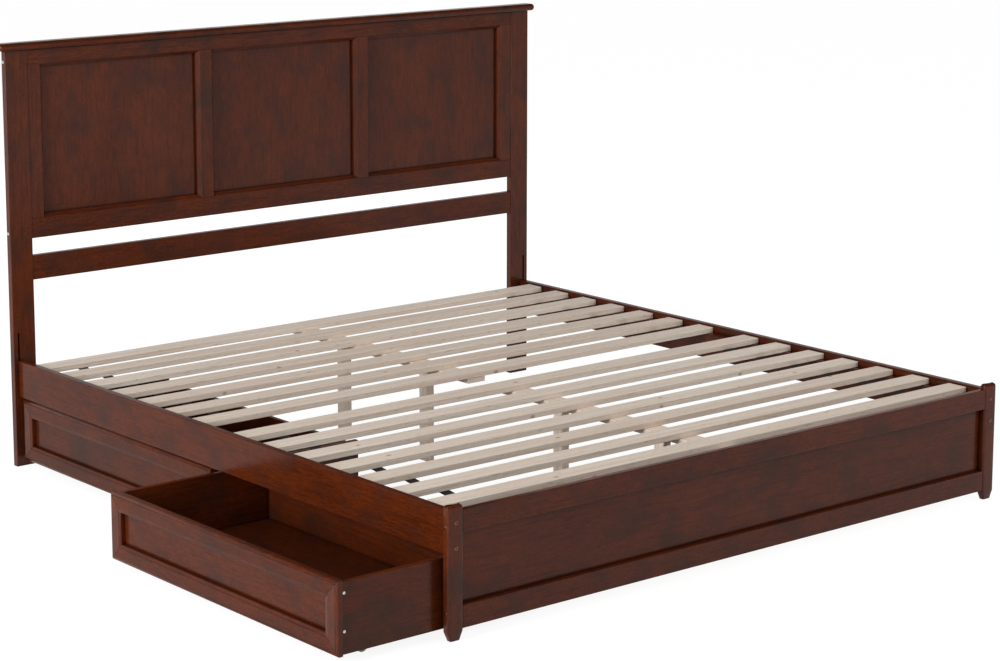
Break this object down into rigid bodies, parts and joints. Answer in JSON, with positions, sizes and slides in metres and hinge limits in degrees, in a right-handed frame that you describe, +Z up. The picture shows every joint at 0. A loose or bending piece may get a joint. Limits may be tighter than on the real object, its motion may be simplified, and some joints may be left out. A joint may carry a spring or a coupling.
{
  "type": "platform bed with storage drawers",
  "caption": "Slatted platform bed with a panelled headboard, a low footboard and storage drawers on casters that pull out from under one side rail.",
  "frame": {"origin": "on the floor, in the middle of the foot of the second centre leg from the foot end, on the bed's centre line", "axes": "+X across the bed to its right side, away from the drawers; +Y along the bed to the headboard; +Z up"},
  "size_m": [2.343, 2.121, 1.28],
  "materials": {
    "stained_frame": "semi-gloss walnut stain",
    "stained_drawer_front": "semi-gloss walnut stain",
    "stained_drawer_box": "satin walnut stain",
    "slat_pine": "bare planed pine",
    "webbing": "woven black webbing",
    "zinc_steel": "zinc plated",
    "caster_housing": "moulded",
    "wheel_nylon": "smooth nylon"
  },
  "bodies": {
    "bed_frame": {"headboard_post_left": "stained_frame", "headboard_post_right": "stained_frame", "headboard_cap": "stained_frame", "headboard_top_rail": "stained_frame", "headboard_bottom_rail": "stained_frame", "headboard_lower_rail": "stained_frame", "headboard_stile_left": "stained_frame", "headboard_stile_right": "stained_frame", "headboard_muntin_left": "stained_frame", "headboard_muntin_right": "stained_frame", "headboard_panel_left": "stained_frame", "headboard_panel_middle": "stained_frame", "headboard_panel_right": "stained_frame", "footboard_post_left": "stained_frame", "footboard_post_right": "stained_frame", "footboard_top_rail": "stained_frame", "footboard_bottom_rail": "stained_frame", "footboard_panel": "stained_frame", "side_rail_left": "stained_frame", "side_rail_right": "stained_frame", "slat_ledger_left": "stained_frame", "slat_ledger_right": "stained_frame", "slat_roll_foot": "slat_pine", "slat_roll_head": "slat_pine", "centre_beam_foot": "slat_pine", "centre_beam_head": "slat_pine", "centre_legs": "slat_pine", "slat_webbing": "webbing", "rail_bolts": "zinc_steel", "post_screws": "zinc_steel"},
    "foot_drawer": {"foot_drawer_front_top": "stained_drawer_front", "foot_drawer_front_bottom": "stained_drawer_front", "foot_drawer_front_stile_foot": "stained_drawer_front", "foot_drawer_front_stile_head": "stained_drawer_front", "foot_drawer_front_panel": "stained_drawer_front", "foot_drawer_box_front": "stained_drawer_box", "foot_drawer_side_foot": "stained_drawer_box", "foot_drawer_side_head": "stained_drawer_box", "foot_drawer_back": "stained_drawer_box", "foot_drawer_bottom": "stained_drawer_box", "foot_drawer_casters": "caster_housing"},
    "foot_drawer_wheel_front_foot": {"foot_drawer_wheel_front_foot": "wheel_nylon"},
    "foot_drawer_wheel_front_head": {"foot_drawer_wheel_front_head": "wheel_nylon"},
    "foot_drawer_wheel_rear_foot": {"foot_drawer_wheel_rear_foot": "wheel_nylon"},
    "foot_drawer_wheel_rear_head": {"foot_drawer_wheel_rear_head": "wheel_nylon"},
    "head_drawer": {"head_drawer_front_top": "stained_drawer_front", "head_drawer_front_bottom": "stained_drawer_front", "head_drawer_front_stile_foot": "stained_drawer_front", "head_drawer_front_stile_head": "stained_drawer_front", "head_drawer_front_panel": "stained_drawer_front", "head_drawer_box_front": "stained_drawer_box", "head_drawer_side_foot": "stained_drawer_box", "head_drawer_side_head": "stained_drawer_box", "head_drawer_back": "stained_drawer_box", "head_drawer_bottom": "stained_drawer_box", "head_drawer_casters": "caster_housing"},
    "head_drawer_wheel_front_foot": {"head_drawer_wheel_front_foot": "wheel_nylon"},
    "head_drawer_wheel_front_head": {"head_drawer_wheel_front_head": "wheel_nylon"},
    "head_drawer_wheel_rear_foot": {"head_drawer_wheel_rear_foot": "wheel_nylon"},
    "head_drawer_wheel_rear_head": {"head_drawer_wheel_rear_head": "wheel_nylon"}
  },
  "joints": [
    {"name": "foot_drawer_slide", "type": "slide", "parent": "bed_frame", "child": "foot_drawer", "axis": [-1, 0, 0], "range_m": [-0.323, 0.157]},
    {"name": "foot_drawer_wheel_front_foot_axle", "type": "hinge", "parent": "foot_drawer", "child": "foot_drawer_wheel_front_foot", "pos_m": [-1.203, -0.654, 0.017], "axis": [0, 1, 0], "continuous": true},
    {"name": "foot_drawer_wheel_front_head_axle", "type": "hinge", "parent": "foot_drawer", "child": "foot_drawer_wheel_front_head", "pos_m": [-1.203, 0.238, 0.017], "axis": [0, 1, 0], "continuous": true},
    {"name": "foot_drawer_wheel_rear_foot_axle", "type": "hinge", "parent": "foot_drawer", "child": "foot_drawer_wheel_rear_foot", "pos_m": [-0.883, -0.654, 0.017], "axis": [0, 1, 0], "continuous": true},
    {"name": "foot_drawer_wheel_rear_head_axle", "type": "hinge", "parent": "foot_drawer", "child": "foot_drawer_wheel_rear_head", "pos_m": [-0.883, 0.238, 0.017], "axis": [0, 1, 0], "continuous": true},
    {"name": "head_drawer_slide", "type": "slide", "parent": "bed_frame", "child": "head_drawer", "axis": [-1, 0, 0], "range_m": [0, 0.48]},
    {"name": "head_drawer_wheel_front_foot_axle", "type": "hinge", "parent": "head_drawer", "child": "head_drawer_wheel_front_foot", "pos_m": [-0.88, 0.372, 0.017], "axis": [0, 1, 0], "continuous": true},
    {"name": "head_drawer_wheel_front_head_axle", "type": "hinge", "parent": "head_drawer", "child": "head_drawer_wheel_front_head", "pos_m": [-0.88, 1.264, 0.017], "axis": [0, 1, 0], "continuous": true},
    {"name": "head_drawer_wheel_rear_foot_axle", "type": "hinge", "parent": "head_drawer", "child": "head_drawer_wheel_rear_foot", "pos_m": [-0.56, 0.372, 0.017], "axis": [0, 1, 0], "continuous": true},
    {"name": "head_drawer_wheel_rear_head_axle", "type": "hinge", "parent": "head_drawer", "child": "head_drawer_wheel_rear_head", "pos_m": [-0.56, 1.264, 0.017], "axis": [0, 1, 0], "continuous": true}
  ]
}
